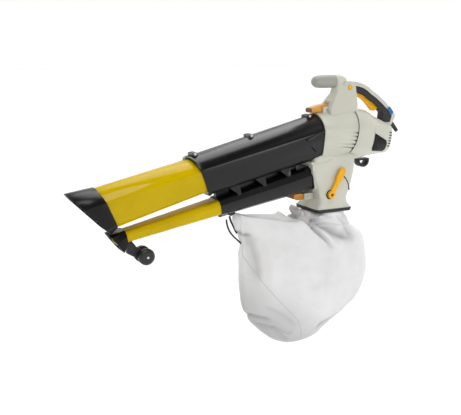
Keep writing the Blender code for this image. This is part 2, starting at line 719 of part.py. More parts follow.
def selector():
    """Outside lever and the flap it turns inside the diverter box, on one shaft."""
    px, pz = PIVOT
    along = (math.sin(LEVER_ANGLE), math.cos(LEVER_ANGLE))
    across = (along[1], -along[0])

    def at(reach, side):
        return (px + along[0] * reach + across[0] * side, pz + along[1] * reach + across[1] * side)

    arm = ((0, -7), (46, -7), (56, -11), (88, -10), (94, -4), (94, 5), (86, 10), (56, 11), (46, 7), (0, 7))
    lever = prism("selector_lever", [at(*point) for point in arm], -72, -63, upright)
    join(lever, pin("lever_hub", px, pz, 12, -74, -62.6, upright, True, 20))
    cut(lever, pin("lever_hub_bore", px, pz, 5.3, -80, -60, upright, True))
    blade = [at(0, -2), at(FLAP_LENGTH, -1), at(FLAP_LENGTH, 1), at(0, 2)]
    flap = prism("diverter_flap", blade, -51, 51, upright)
    join(flap, pin("flap_shaft", px, pz, 5.0, -72, 64, upright, True))
    paint(material("lever_yellow", (0.95, 0.5, 0.0), 0.35), lever)
    paint(material("flap_grey", (0.3, 0.3, 0.3), 0.5), flap)


def latches():
    """Orange catches that hold the tubes to the housing, each on a steel pin."""
    orange = material("latch_orange", (0.85, 0.3, 0.02), 0.4)
    steel = material("latch_pin_steel", (0.6, 0.6, 0.6), 0.3)
    upper = ((-30, 68.5), (-31, 81), (-26, 84), (26, 95), (34, 91), (36, 80), (30, 71), (10, 68.5))
    lower = ((-98, -191), (-98, -199), (-76, -208), (-40, -208), (-33, -202), (-33, -190), (-72, -188))
    shapes = (("top_latch", TOP_LATCH, upper), ("bottom_latch", BOTTOM_LATCH, lower))
    for name, (x, z), outline in shapes:
        latch = prism(name, outline, -14, 14, upright)
        cut(latch, pin(f"{name}_hole", x, z, 2.9, -20, 20, upright, True, 12))
        paint(orange, latch)
        paint(steel, pin(f"{name}_pin", x, z, 2.5, -20.5, 20.5, upright, False, 12))


def fan():
    """Shredding impeller, its nut and the plate that closes the fan chamber."""
    wheel = ((-33, 13), (-7, 15), (-7, IMPELLER_RADIUS), (-3, IMPELLER_RADIUS))
    impeller = turned("impeller", wheel, motor_frame)
    blades = []
    for i in range(6):
        blade = box(f"blade_{i}", (-32, -1.6, 8), (-6, 1.6, IMPELLER_RADIUS - 1), motor_frame, True)
        blade.rotation_euler = (i * math.pi / 3, 0, 0)
        blades.append(blade)
    join(impeller, *blades)
    cut(impeller, turned("impeller_bore", ((-50, 4.2), (5, 4.2)), motor_frame, True, 16))
    nut = turned("impeller_nut", ((-41, 8), (-33.4, 8)), motor_frame, False, 6)
    cut(nut, turned("nut_bore", ((-50, 4.2), (-30, 4.2)), motor_frame, True, 16))
    plate = turned("fan_back_plate", ((0.8, 76), (4.5, 76), (4.5, 18), (14.5, 18)), motor_frame)
    cut(
        plate,
        turned("plate_bearing_seat", ((5, 13.3), (20, 13.3)), motor_frame, True, 24),
        turned("plate_bore", ((-5, 6), (8, 6)), motor_frame, True, 16),
    )
    paint(material("impeller_alloy", (0.55, 0.56, 0.58), 0.4), impeller)
    paint(material("nut_steel", (0.5, 0.5, 0.5), 0.3), nut)
    paint(material("plate_black", (0.04, 0.04, 0.04), 0.5), plate)


def motor():
    """Series motor: shaft, armature, commutator and cooling fan inside a ring of field iron."""
    shaft = turned("motor_shaft", ((-42, 4), (129, 4)), motor_frame, False, 16)
    paint(material("shaft_steel", (0.6, 0.6, 0.6), 0.25), shaft)
    rings = (
        ("front_bearing", 5.3, 14, 13, "bearing_steel", (0.55, 0.55, 0.56)),
        ("cooling_fan", 20, 24, 40, "fan_white", (0.75, 0.75, 0.7)),
        ("armature", 44, 92, 26, "armature_copper", (0.45, 0.2, 0.08)),
        ("commutator", 97, 112, 13, "commutator_copper", (0.6, 0.3, 0.12)),
        ("rear_bearing", 118, 126, 11.1, "rear_bearing_steel", (0.55, 0.55, 0.56)),
        ("field_stator", 46, 90, 44, "stator_iron", (0.2, 0.2, 0.22)),
    )
    for name, x0, x1, radius, paint_name, color in rings:
        inner = 28.0 if name == "field_stator" else 4.2
        obj = turned(name, ((x0, radius), (x1, radius)), motor_frame, False, 24)
        if name == "cooling_fan":
            for i in range(8):
                blade = box(f"cooling_blade_{i}", (23, -1, 12), (33, 1, 39), motor_frame, True)
                blade.rotation_euler = (i * math.pi / 4, 0, 0)
                join(obj, blade)
        cut(obj, turned(f"{name}_bore", ((x0 - 5, inner), (x1 + 5, inner)), motor_frame, True, 16))
        paint(material(paint_name, color), obj)
    for side, name in ((-1, "left"), (1, "right")):
        y0, y1 = sorted((side * 13.4, side * 32))
        brush = box(f"brush_{name}", (100, y0, -4), (108, y1, 4), motor_frame)
        paint(material(f"brush_carbon_{name}", (0.03, 0.03, 0.03), 0.8), brush)


def trim():
    """Strap lug under the cover and the strain relief where the mains lead would leave."""
    arc = [math.pi * i / 12 for i in range(13)]
    outer = [(183 + 22 * math.cos(a), -98 - 21 * math.sin(a)) for a in arc]
    inner = [(183 + 15 * math.cos(a), -97 - 14 * math.sin(a)) for a in arc]
    lug = prism("strap_lug", [(205, -70), *outer, (161, -70)], -13, 13, upright)
    cut(
        lug,
        prism("strap_eye", [(198, -60), *inner, (168, -60)], -20, 20, upright, True),
        box("strap_lug_top", (150, -30, -93.5), (220, 30, -50), upright, True),
    )
    join(lug, box("strap_lug_bar", (161, -13, -96), (205, 13, -90.5), upright, True))
    cut(lug, cover_skin("strap_lug_clearance", GAP, -2, 172))
    paint(material("lug_grey", (0.70, 0.69, 0.63), 0.5), lug)
    boot = sleeve_between("cord_boot", BOOT_START, BOOT_END, 7.5, 6.2)
    cut(boot, sleeve_between("cord_boot_bore", (288, 36), (333, -16), 4.1, 4.1, True))
    paint(material("boot_black", (0.02, 0.02, 0.022), 0.6), boot)


def sleeve_between(name, start, end, first, last, cutter=False):
    """A round taper between two (x, z) points in the middle plane."""
    axis = Vector((end[0] - start[0], 0, end[1] - start[1]))
    lift = Vector((-axis.z, 0, axis.x)).normalized()
    rings = []
    for (x, z), radius in ((start, first), (end, last)):
        middle = Vector((x, 0, z))
        side = Vector((0, radius, 0))
        rings.append([tuple(middle + radius * c * lift + s * side) for c, s in unit_circle(16)])
    return loft(name, rings, upright, cutter)


def bag_rings(inset):
    """Level ovals from the collar down; the bag hangs well forward of its mouth."""
    stations = (
        (BAG_TOP, -24, 94, 58, 0.0), (-253, -50, 104, 64, 0.0), (-262, -276, 146, 80, -0.09),
        (-288, -280, 166, 95, -0.06), (-330, -258, 184, 108, 0.0), (-395, -272, 200, 118, 0.0),
        (-460, -275, 204, 120, 0.0), (-530, -263, 184, 112, 0.0), (-585, -236, 132, 94, 0.0),
        (-640, -192, 58, 64, 0.0), (-688, -120, -10, 24, 0.0),
    )
    rings = []
    for z, x0, x1, half, tip in stations:
        a, b = 0.5 * (x1 - x0) - inset, half - inset
        middle = 0.5 * (x0 + x1)
        ring = []
        for i in range(24):
            angle = 2 * math.pi * i / 24
            reach = a * math.cos(angle)
            ring.append((middle + reach, b * math.sin(angle), z + tip * reach))
        rings.append(ring)
    return rings


def bag_and_collar():
    """Black collar ring under the diverter box, the hanging cloth bag and its elastic."""
    stations = ((BOX_FLOOR - GAP, -34, 104, 69), (BOX_FLOOR - COLLAR_THICK, -32, 102, 67))
    collar = loft("bag_collar", [rounded_ring(x0, x1, half, z, 14) for z, x0, x1, half in stations], upright)
    hole = [rounded_ring(-24, 94, 59, z, 11) for z in (BOX_FLOOR + 8, BAG_TOP - 8)]
    cut(collar, loft("bag_collar_hole", hole, upright, True))
    bag = loft("collection_bag", bag_rings(0), upright)
    hollow = bag_rings(3.0)
    hollow[-1] = [(x, y, z + 4) for x, y, z in hollow[-1]]
    hollow.insert(0, [(x, y, z + 5) for x, y, z in hollow[0]])
    cut(bag, loft("bag_hollow", hollow, upright, True))
    paint(material("collar_black", (0.02, 0.02, 0.022)), collar)
    paint(material("bag_cloth", (0.85, 0.85, 0.84), 0.9), bag)
    curve = bpy.data.curves.new("bag_elastic", "CURVE")
    curve.dimensions = "3D"
    curve.resolution_u = 3
    curve.bevel_depth = 2.0 * MM
    curve.bevel_resolution = 1
    curve.use_fill_caps = True
    line = curve.splines.new("NURBS")
    path = (
        (-321, -249), (-320, -262), (-314, -284), (-296, -306), (-278, -322), (-266, -334), (-262.5, -342),
    )
    line.points.add(len(path) - 1)
    for point, (x, z) in zip(line.points, path):
        point.co = (x * MM, 0, z * MM, 1)
    line.use_endpoint_u = True
    line.order_u = 4
    elastic = bpy.data.objects.new("bag_elastic", curve)
    elastic.parent = upright
    parts.objects.link(elastic)
    curve.materials.append(material("elastic_black", (0.02, 0.02, 0.02), 0.7))


clear_scene()
tube_frame = frame("tube_axis", (0, 0, 0), TUBE_SLOPE)
motor_frame = frame("motor_axis", MOTOR_ORIGIN, MOTOR_SLOPE)
upright = frame("upright", (0, 0, 0), 0.0)
front_tubes()
nozzles()
nozzle_wheel()
rear_tubes()
tube_hardware()
housing()
motor_cover()
rear_grille()
handle_trim()
controls()
selector()
latches()
fan()
motor()
trim()
bag_and_collar()
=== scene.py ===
"""Looks of a hand-held leaf vacuum and mulcher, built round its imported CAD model. Metres, +Z up, +X rear."""

import json
import math

import bmesh
import bpy
from mathutils import Matrix, Vector, noise

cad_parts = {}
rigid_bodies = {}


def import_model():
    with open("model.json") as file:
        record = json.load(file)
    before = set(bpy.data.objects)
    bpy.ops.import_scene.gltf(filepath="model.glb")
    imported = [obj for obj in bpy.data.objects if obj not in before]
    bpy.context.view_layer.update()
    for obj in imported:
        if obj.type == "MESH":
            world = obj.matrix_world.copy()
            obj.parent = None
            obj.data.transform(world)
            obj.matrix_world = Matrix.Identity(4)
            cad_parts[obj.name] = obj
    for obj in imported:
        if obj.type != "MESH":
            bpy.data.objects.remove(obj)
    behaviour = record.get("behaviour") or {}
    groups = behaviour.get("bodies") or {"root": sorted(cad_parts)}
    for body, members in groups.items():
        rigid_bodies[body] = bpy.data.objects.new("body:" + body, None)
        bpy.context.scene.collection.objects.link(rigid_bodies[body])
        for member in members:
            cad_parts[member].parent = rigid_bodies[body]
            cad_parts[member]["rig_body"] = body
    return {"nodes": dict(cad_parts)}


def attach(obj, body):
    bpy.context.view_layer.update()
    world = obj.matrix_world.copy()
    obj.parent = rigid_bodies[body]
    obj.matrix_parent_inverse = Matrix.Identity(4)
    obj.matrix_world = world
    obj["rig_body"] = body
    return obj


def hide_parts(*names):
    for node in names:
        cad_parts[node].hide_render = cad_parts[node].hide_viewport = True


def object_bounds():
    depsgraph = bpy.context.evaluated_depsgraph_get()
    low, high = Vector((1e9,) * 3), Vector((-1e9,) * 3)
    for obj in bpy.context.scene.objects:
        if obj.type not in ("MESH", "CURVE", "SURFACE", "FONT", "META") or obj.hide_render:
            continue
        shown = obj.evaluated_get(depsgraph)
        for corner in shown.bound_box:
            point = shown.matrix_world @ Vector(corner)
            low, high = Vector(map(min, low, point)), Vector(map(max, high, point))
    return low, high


MM = 0.001

# Camera: left side of the machine, a little ahead of it and above it.
AZIMUTH = math.radians(-27.0)
ELEVATION = math.radians(12.0)
CAMERA_PLACE = (-1.5568, -2.0550, 0.1584)
LENS = 59.8

# Stage.
FLOOR_BELOW = 1.0
FLOOR_HALF = 60.0

# The rear handle's grip is the frame's origin. The lists below are measured in millimetres from where
# the tubes' axis meets the housing, which is HOLD away from that origin.
HOLD = Vector((203.0, 0.0, 120.0))
TUBE_SLOPE = math.radians(12.5)
MOTOR_SLOPE = math.radians(-10.0)
MOTOR_ORIGIN = Vector((118.0, 0.0, -1.0))

# Ducts whose flat sides bow out: width at the crease and low down, height of the crease and of the
# lower corner, and how far they bow.
BULGED = {
    "rear_tube_left": (67.0, 56.0, 18.0, -54.0, 3.0),
    "rear_tube_right": (67.0, 56.0, 18.0, -54.0, 3.0),
    "vacuum_tube_front": (62.0, 50.0, 12.0, -54.0, 1.6),
}

# How far edges are rounded, in millimetres, and the ducts whose creases are rounded more.
EDGE_ROUND = 0.7
SOFT_CREASES = {"rear_tube_left": 1.3, "rear_tube_right": 1.3, "vacuum_tube_front": 1.2}

# Bag: height, front, rear, half width, tilt and how far the front is pinched, from the collar down.
BAG_SECTIONS = (
    (-247.4, -32, 102, 66, 0.0, 0.0),
    (-258, -41, 107, 68, 0.0, 0.05),
    (-265, -85, 115, 71, 0.0, 0.15),
    (-267, -180, 128, 74, -0.07, 0.40),
    (-267, -296, 143, 80, -0.165, 0.62),
    (-283, -300, 160, 91, -0.14, 0.60),
    (-306, -287, 176, 101, -0.08, 0.50),
    (-336, -268, 189, 110, -0.03, 0.35),
    (-395, -275, 202, 118, 0.0, 0.15),
    (-460, -278, 206, 120, 0.0, 0.05),
    (-530, -272, 186, 112, 0.0, 0.0),
    (-585, -243, 132, 94, 0.0, 0.0),
    (-636, -192, 58, 64, 0.0, 0.0),
    (-672, -136, 14, 32, 0.0, 0.0),
    (-685, -96, -18, 6, 0.0, 0.0),
)
# Mesh rings between one section and the next, and points in each ring.
BAG_STEPS = (3, 8, 15, 17, 6, 8, 9, 15, 14, 15, 13, 14, 11, 6)
BAG_AROUND = 200
# Below this height the cloth is free of the collar.
BAG_RIM = -250.0
# In metres: how far the simulation may move the cloth, and the cloth's thickness.
BAG_GIVE = 0.006
BAG_THICK = 0.0016
# How deep and how sharp the folds are, and the depth in millimetres of a fold valley whose painted shade is at
# its darkest.
FOLD_STRENGTH = 2.6
FOLD_EDGE = 1.3
CREASE_SHADE_DEPTH = 15.0
# Seams: radii in metres, the heights that the side seams run between, and the rings the rear one skips.
SEAM_RADIUS = 0.0008
REAR_SEAM_RADIUS = 0.0009
SEAM_TOP = -352
SEAM_FOOT = -662
REAR_SEAM_SPARE = 8
# Height and angle from the front of the seams between the side panels and the front gusset.
BAG_SEAM = ((-352, 6), (-395, 22), (-430, 34), (-475, 46), (-530, 60), (-590, 76), (-650, 88), (-684, 90))
# Folds: points along the side panel, width, and depth, which is negative for a valley.
BAG_FOLDS = (
    (((-88, -246), (-71, -264), (-50, -287), (-22, -316), (10, -356)), 5.5, -7.0),
    (((-72, -236), (-52, -258), (-30, -284), (0, -318), (36, -362)), 11.0, 5.0),
    (((-110, -252), (-92, -274), (-72, -300), (-50, -332)), 12.0, 3.5),
    (((-62, -250), (-26, -277), (12, -295), (63, -320), (112, -341)), 13.0, -6.5),
    (((-44, -244), (0, -264), (48, -280), (100, -300)), 13.0, 4.0),
    (((-58, -258), (-30, -286), (4, -322), (40, -352)), 20.0, -3.0),
    (((40, -256), (66, -276), (92, -306), (112, -346)), 9.0, -3.5),
    (((-226, -520), (-150, -566), (-96, -618)), 9.0, -2.5),
    (((70, -590), (24, -606), (-30, -640)), 7.0, -3.0),
    (((-180, -600), (-140, -640), (-110, -664)), 7.0, -3.0),
    (((-262, -296), (-249, -332), (-243, -373), (-240, -420), (-236, -470)), 17.0, -3.6),
    (((-214, -306), (-203, -352), (-200, -410), (-206, -470)), 20.0, 3.5),
    (((-292, -288), (-268, -298), (-246, -300)), 6.0, -4.0),
    (((-262, -556), (-229, -567), (-190, -573)), 6.0, -4.0),
    (((-230, -590), (-196, -602), (-160, -608)), 6.0, -3.0),
    (((-146, -622), (-121, -630), (-100, -624)), 7.0, 4.0),
    (((-6, -624), (20, -618), (44, -606)), 7.0, -4.5),
    (((-150, -520), (-60, -548), (40, -540), (110, -510)), 22.0, 3.0),
)

# Bag elastic: what its cover adds to the radius, in millimetres, and the second strand's radius in metres.
ELASTIC_SWELL = 1.0
STRAND_RADIUS = 0.0030

# Trim: the motor bell's seam, the wedges on the black tube's sides and the dark fronts of the catches.
BELL_X = -9.8
BELL_RADIUS = 80.4
TUBE_WEDGES = (
    ((-76, 10), (-30, 17), (-30, 12), (-74, 4)),
    ((-72, -4), (-40, 2), (-40, -36), (-48, -38)),
)
PAD_HALF = 14.3
LATCH_PADS = {
    "top_latch": ((-31.6, 70), (-32.2, 80), (-28, 83.2), (-26, 70)),
    "bottom_latch": ((-98.6, -190.6), (-98.6, -199.4), (-88, -203.8), (-86, -190.2)),
}


def linear(red, green, blue):
    """A screen colour from 0 to 255 as scene-linear values."""
    def channel(value):
        share = value / 255.0
        if share <= 0.04045:
            return share / 12.92
        return ((share + 0.055) / 1.055) ** 2.4
    return (channel(red), channel(green), channel(blue), 1.0)


# ---------------------------------------------------------------- materials


def new_material(name):
    made = bpy.data.materials.new(name)
    made.use_nodes = True
    return made, made.node_tree, made.node_tree.nodes["Principled BSDF"]


def add_node(tree, kind, **inputs):
    made = tree.nodes.new(kind)
    for key, value in inputs.items():
        made.inputs[key.replace("_", " ")].default_value = value
    return made


def noise_node(tree, place, scale, detail=3.0):
    made = add_node(tree, "ShaderNodeTexNoise", Scale=scale, Detail=detail)
    tree.links.new(place, made.inputs["Vector"])
    return made.outputs["Fac"]


def ranged(tree, source, low, high, start=0.3, end=0.7):
    made = tree.nodes.new("ShaderNodeMapRange")
    made.inputs["From Min"].default_value = start
    made.inputs["From Max"].default_value = end
    made.inputs["To Min"].default_value = low
    made.inputs["To Max"].default_value = high
    tree.links.new(source, made.inputs["Value"])
    return made.outputs["Result"]


def joined(tree, operation, first, second):
    made = tree.nodes.new("ShaderNodeMath")
    made.operation = operation
    tree.links.new(first, made.inputs[0])
    tree.links.new(second, made.inputs[1])
    return made.outputs[0]


def two_tone(tree, source, first, second):
    made = tree.nodes.new("ShaderNodeMix")
    made.data_type = "RGBA"
    for name, color in (("A", first), ("B", second)):
        if isinstance(color, tuple):
            made.inputs[name].default_value = color
        else:
            tree.links.new(color, made.inputs[name])
    tree.links.new(source, made.inputs["Factor"])
    return made.outputs["Result"]


def scaled(color, share):
    return tuple(min(1.0, part * share) for part in color[:3]) + (1.0,)


def moulded(
    name, color, roughness=0.4, grain=0.10, spread=0.06, coat=0.0, grain_scale=900.0, shine=0.5, ior=1.5
):
    """Moulded plastic: a faint cloudiness, a fine spark-eroded grain and scuffs in the gloss."""
    made, tree, surface = new_material(name)
    place = tree.nodes.new("ShaderNodeTexCoord").outputs["Object"]
    cloud = ranged(tree, noise_node(tree, place, 9.0), 0.0, 1.0)
    tint = two_tone(tree, cloud, scaled(color, 1 - spread), scaled(color, 1 + spread))
    tree.links.new(tint, surface.inputs["Base Color"])
    scuffs = noise_node(tree, place, 60.0, 6.0)
    gloss = ranged(tree, scuffs, roughness * 0.88, roughness * 1.15)
    tree.links.new(gloss, surface.inputs["Roughness"])
    bump = add_node(tree, "ShaderNodeBump", Strength=grain, Distance=0.0002)
    tree.links.new(noise_node(tree, place, grain_scale, 2.0), bump.inputs["Height"])
    tree.links.new(bump.outputs["Normal"], surface.inputs["Normal"])
    surface.inputs["Specular IOR Level"].default_value = shine
    surface.inputs["IOR"].default_value = ior
    surface.inputs["Coat Weight"].default_value = coat
    surface.inputs["Coat Roughness"].default_value = 0.08
    return made


def cloth(name, color):
    """Woven polyester: threads a millimetre apart, a soft sheen, and painted shade low in the bag and in its
    creases and pleats.
    """
    made, tree, surface = new_material(name)
    place = tree.nodes.new("ShaderNodeTexCoord").outputs["Object"]
    heights = []
    for axis in ("X", "Z"):
        threads = add_node(tree, "ShaderNodeTexWave", Scale=330.0, Distortion=0.6, Detail=1.0)
        threads.inputs["Detail Scale"].default_value = 2.0
        threads.bands_direction = axis
        tree.links.new(place, threads.inputs["Vector"])
        heights.append(threads.outputs["Fac"])
    weave = joined(tree, "MULTIPLY", *heights)
    cloud = ranged(tree, noise_node(tree, place, 14.0, 4.0), 0.0, 1.0)
    tint = two_tone(tree, cloud, scaled(color, 0.95), scaled(color, 1.04))
    # Painted shade: the cloth darkens towards the bottom and the front of the bag, where less light reaches
    # it.
    depth = tree.nodes.new("ShaderNodeVectorMath")
    depth.operation = "DOT_PRODUCT"
    depth.inputs[1].default_value = (0.55, 0.0, 0.83)
    tree.links.new(place, depth.inputs[0])
    low_shade = ranged(tree, depth.outputs["Value"], 1.0, 0.0, -0.83, -0.70)
    tint = two_tone(tree, low_shade, tint, scaled(color, 0.60))
    # Painted shade in the fold valleys and between the neck's pleats, read from the crease attribute.
    crease = tree.nodes.new("ShaderNodeAttribute")
    crease.attribute_name = "crease"
    tint = two_tone(tree, ranged(tree, crease.outputs["Fac"], 0.0, 1.0, 0.0, 1.0), tint, scaled(color, 0.58))
    tree.links.new(tint, surface.inputs["Base Color"])
    bump = add_node(tree, "ShaderNodeBump", Strength=0.25, Distance=0.0004)
    tree.links.new(weave, bump.inputs["Height"])
    tree.links.new(bump.outputs["Normal"], surface.inputs["Normal"])
    gloss = ranged(tree, noise_node(tree, place, 200.0, 2.0), 0.72, 0.88)
    tree.links.new(gloss, surface.inputs["Roughness"])
    surface.inputs["Sheen Weight"].default_value = 0.2
    surface.inputs["Sheen Roughness"].default_value = 0.5
    return made


def metal(name, color, roughness):
    """Turned or pressed metal with fine brushing."""
    made, tree, surface = new_material(name)
    place = tree.nodes.new("ShaderNodeTexCoord").outputs["Object"]
    brushed = noise_node(tree, place, 400.0, 4.0)
    tree.links.new(ranged(tree, brushed, roughness * 0.8, roughness * 1.25), surface.inputs["Roughness"])
    tint = two_tone(tree, ranged(tree, brushed, 0.0, 1.0), scaled(color, 0.9), color)
    tree.links.new(tint, surface.inputs["Base Color"])
    surface.inputs["Metallic"].default_value = 1.0
    return made


MATERIALS = {
    "smoked_yellow": moulded("smoked_yellow", linear(195, 165, 0), 0.15, 0.02, 0.06, coat=0.22, ior=1.10),
    "glossy_black": moulded("glossy_black", linear(7, 7, 7), 0.30, 0.02, shine=0.22),
    "satin_black": moulded("satin_black", linear(13, 13, 14), 0.22, 0.0, shine=0.33),
    "matt_black": moulded("matt_black", linear(20, 20, 22), 0.50, 0.15),
    "housing_grey": moulded("housing_grey", linear(197, 197, 184), 0.38, 0.06, 0.025),
    "grip_grey": moulded("grip_grey", linear(156, 156, 148), 0.42, 0.15, 0.03),
    "lever_yellow": moulded("lever_yellow", linear(238, 172, 0), 0.32, 0.06, 0.03, shine=0.25),
    "catch_orange": moulded("catch_orange", linear(214, 148, 40), 0.32, 0.06, 0.04),
    "catch_brown": moulded("catch_brown", linear(104, 52, 14), 0.4, 0.06, 0.04),
    "accent_blue": moulded("accent_blue", linear(28, 92, 160), 0.38, 0.08),
    "dark_fitting": moulded("dark_fitting", linear(24, 23, 22), 0.45, 0.15),
    "label_black": moulded("label_black", linear(9, 9, 10), 0.25, 0.02, shine=0.13),
    "soft_rubber": moulded("soft_rubber", linear(30, 30, 33), 0.62, 0.25),
    "elastic_black": moulded("elastic_black", linear(20, 20, 21), 0.75, 0.5, grain_scale=500.0),
    "fan_nylon": moulded("fan_nylon", linear(60, 60, 62), 0.45, 0.15),
    "bright_steel": metal("bright_steel", linear(200, 200, 202), 0.28),
    "core_steel": metal("core_steel", linear(120, 120, 124), 0.42),
    "copper": metal("copper", linear(190, 110, 70), 0.35),
    "carbon": moulded("carbon", linear(38, 38, 40), 0.5, 0.2),
    "bag_thread": moulded("bag_thread", linear(176, 176, 174), 0.8, 0.4),
    "shadow_gap": moulded("shadow_gap", linear(22, 22, 21), 0.7, 0.1, shine=0.1),
    "bag_cloth": cloth("bag_cloth", linear(224, 224, 224)),
}

FINISHES = {
    "smoked_yellow": ("vacuum_tube_front", "blower_tube_front"),
    "glossy_black": ("vacuum_nozzle", "blower_nozzle"),
    "satin_black": ("rear_tube_left", "rear_tube_right"),
    "matt_black": ("wheel_bracket", "bag_hook", "bag_collar", "strap_lug"),
    "housing_grey": ("housing_left", "housing_right", "motor_cover"),
    "grip_grey": ("front_grip",),
    "lever_yellow": ("selector_lever", "trigger", "lock_off_button"),
    "catch_orange": ("top_latch", "bottom_latch"),
    "accent_blue": ("grip_accent",),
    "dark_fitting": ("roller_wheel_left", "roller_wheel_right", "rear_grille"),
    "label_black": ("label_left", "label_right"),
    "soft_rubber": ("grip_overmould", "cord_boot"),
    "elastic_black": ("bag_elastic",),
    "fan_nylon": ("impeller", "cooling_fan", "fan_back_plate", "diverter_flap", "switch"),
    "bright_steel": (
        "tube_screw_front", "tube_screw_middle", "tube_screw_rear", "housing_screw", "wheel_axle",
        "trigger_pin", "top_latch_pin", "bottom_latch_pin", "motor_shaft", "impeller_nut",
        "front_bearing", "rear_bearing",
    ),
    "core_steel": ("armature", "field_stator"),
    "copper": ("commutator",),
    "carbon": ("brush_left", "brush_right"),
    "bag_cloth": ("collection_bag",),
}


def finish_of(node):
    return next(name for name, nodes in FINISHES.items() if node in nodes)


def paint(obj, material):
    obj.data.materials.clear()
    obj.data.materials.append(MATERIALS[material])


# ---------------------------------------------------------------- shapes


def placed(point, origin=(0.0, 0.0, 0.0), slope=0.0):
    """A point in millimetres, in a frame turned about Y by slope, as metres in the machine's frame."""
    x, y, z = point
    c, s = math.cos(slope), math.sin(slope)
    turned = Vector((x * c - z * s, y, x * s + z * c))
    return (turned + Vector(origin) - HOLD) * MM


def in_tube(point):
    return placed(point, (0, 0, 0), TUBE_SLOPE)


def in_motor(point):
    return placed(point, MOTOR_ORIGIN, MOTOR_SLOPE)


def shape_object(name, points, faces, material, smooth=True):
    mesh = bpy.data.meshes.new(name)
    mesh.from_pydata(points, [], faces)
    shape = bmesh.new()
    shape.from_mesh(mesh)
    bmesh.ops.recalc_face_normals(shape, faces=shape.faces)
    shape.to_mesh(mesh)
    shape.free()
    made = bpy.data.objects.new(name, mesh)
    bpy.context.scene.collection.objects.link(made)
    if smooth:
        mesh.shade_smooth()
    paint(made, material)
    return made


def ring_faces(rings, around, closed=True):
    """Quads between rings of equal length; closed joins each ring's ends."""
    faces = []
    for i in range(rings - 1):
        for j in range(around if closed else around - 1):
            k = (j + 1) % around
            faces.append((i * around + j, i * around + k, (i + 1) * around + k, (i + 1) * around + j))
    return faces


def tube_along(name, points, radius, material, sides=10, flat=1.0):
    """A tube through points in metres, with capped ends; flat squashes it across."""
    rings = []
    count = len(points)
    for i, point in enumerate(points):
        ahead = points[min(i + 1, count - 1)] - points[max(i - 1, 0)]
        across = ahead.cross(Vector((0, 0, 1)))
        if across.length < 1e-9:
            across = Vector((0, 1, 0))
        across.normalize()
        up = across.cross(ahead).normalized()
        for k in range(sides):
            turn = 2 * math.pi * k / sides
            rings.append(point + across * (radius * flat * math.cos(turn)) + up * (radius * math.sin(turn)))
    faces = ring_faces(count, sides)
    faces += [tuple(range(sides)), tuple(range(len(rings) - sides, len(rings)))]
    return shape_object(name, rings, faces, material)


def curve_through(points, steps):
    """Catmull-Rom points through a few guides."""
    made = []
    ends = [points[0], *points, points[-1]]
    for i in range(1, len(ends) - 2):
        a, b, c, d = ends[i - 1 : i + 3]
        for k in range(steps):
            t = k / steps
            bend, twist = 2 * a - 5 * b + 4 * c - d, 3 * b - a - 3 * c + d
            made.append(0.5 * (2 * b + (c - a) * t + bend * t**2 + twist * t**3))
    made.append(points[-1])
    return made


# ---------------------------------------------------------------- cloth bag


def bag_profile():
    """The sections with smooth ones between them, never swinging past a given one."""
    rows = BAG_SECTIONS
    last = len(rows) - 1

    def slope(i, k):
        if i in (0, last):
            return rows[min(i + 1, last)][k] - rows[max(i - 1, 0)][k] if i == last else 0.0
        before, after = rows[i][k] - rows[i - 1][k], rows[i + 1][k] - rows[i][k]
        return 0.0 if before * after <= 0 else 2 * before * after / (before + after)

    made = []
    for i, steps in enumerate(BAG_STEPS):
        for j in range(steps):
            t = j / steps
            row = []
            for k in range(len(rows[0])):
                a, b = rows[i][k], rows[i + 1][k]
                row.append(
                    (2 * t**3 - 3 * t**2 + 1) * a + (t**3 - 2 * t**2 + t) * slope(i, k)
                    + (3 * t**2 - 2 * t**3) * b + (t**3 - t**2) * slope(i + 1, k)
                )
            made.append(row)
    made.append(list(rows[-1]))
    return made


def seam_angle(z):
    for (z0, a0), (z1, a1) in zip(BAG_SEAM, BAG_SEAM[1:]):
        if z0 >= z >= z1:
            return math.radians(a0 + (a1 - a0) * (z - z0) / (z1 - z0))
    return 0.0


def bag_point(row, angle):
    """A point of a section, whose angle runs from the rear; the front narrows and the gusset is flatter."""
    z, x0, x1, half, tilt, pinch = row
    reach = 0.5 * (x1 - x0)
    middle = 0.5 * (x0 + x1)
    seam = seam_angle(z)
    from_front = abs(math.pi - angle)
    c, s = math.cos(angle), math.sin(angle)
    across = half * s * (1 - pinch * max(0.0, -c) ** 1.4)
    along = middle + reach * c
    if from_front < seam:
        chord = middle - reach * math.cos(seam)
        along += 0.05 * (chord - along)
    return Vector((along, across, z + tilt * (along - middle)))


def segment_near(point, path):
    """Distance from a point to a path in the XZ plane, and how far along the path that is, 0 to 1."""
    best, share = 1e9, 0.0
    count = len(path) - 1
    for i in range(count):
        ax, az = path[i]
        ex, ez = path[i + 1][0] - ax, path[i + 1][1] - az
        t = max(0.0, min(1.0, ((point.x - ax) * ex + (point.z - az) * ez) / (ex * ex + ez * ez)))
        away = math.hypot(point.x - ax - t * ex, point.z - az - t * ez)
        if away < best:
            best, share = away, (i + t) / count
    return best, share


def bag_relief(point, side):
    """How far the cloth stands out at a point: folds from the collar, low wrinkles, soft unevenness."""
    rise = 0.0
    for path, width, depth in BAG_FOLDS:
        moved = path if side < 0 else [(x + 9.0, z - 6.0) for x, z in path]
        away, share = segment_near(point, moved)
        if away < 4 * width:
            fading = min(1.0, 4.0 * (1 - share), 0.35 + 5.0 * share)
            rise += FOLD_STRENGTH * depth * math.exp(-((away / width) ** FOLD_EDGE)) * fading
    spot = Vector((point.x, point.y + 900.0 * (side > 0), point.z))
    rise += 2.2 * noise.noise(spot / 55.0) + 1.0 * noise.noise(spot / 21.0)
    fade = min(1.0, max(0.0, (BAG_RIM - point.z) / 12.0))
    return rise * fade


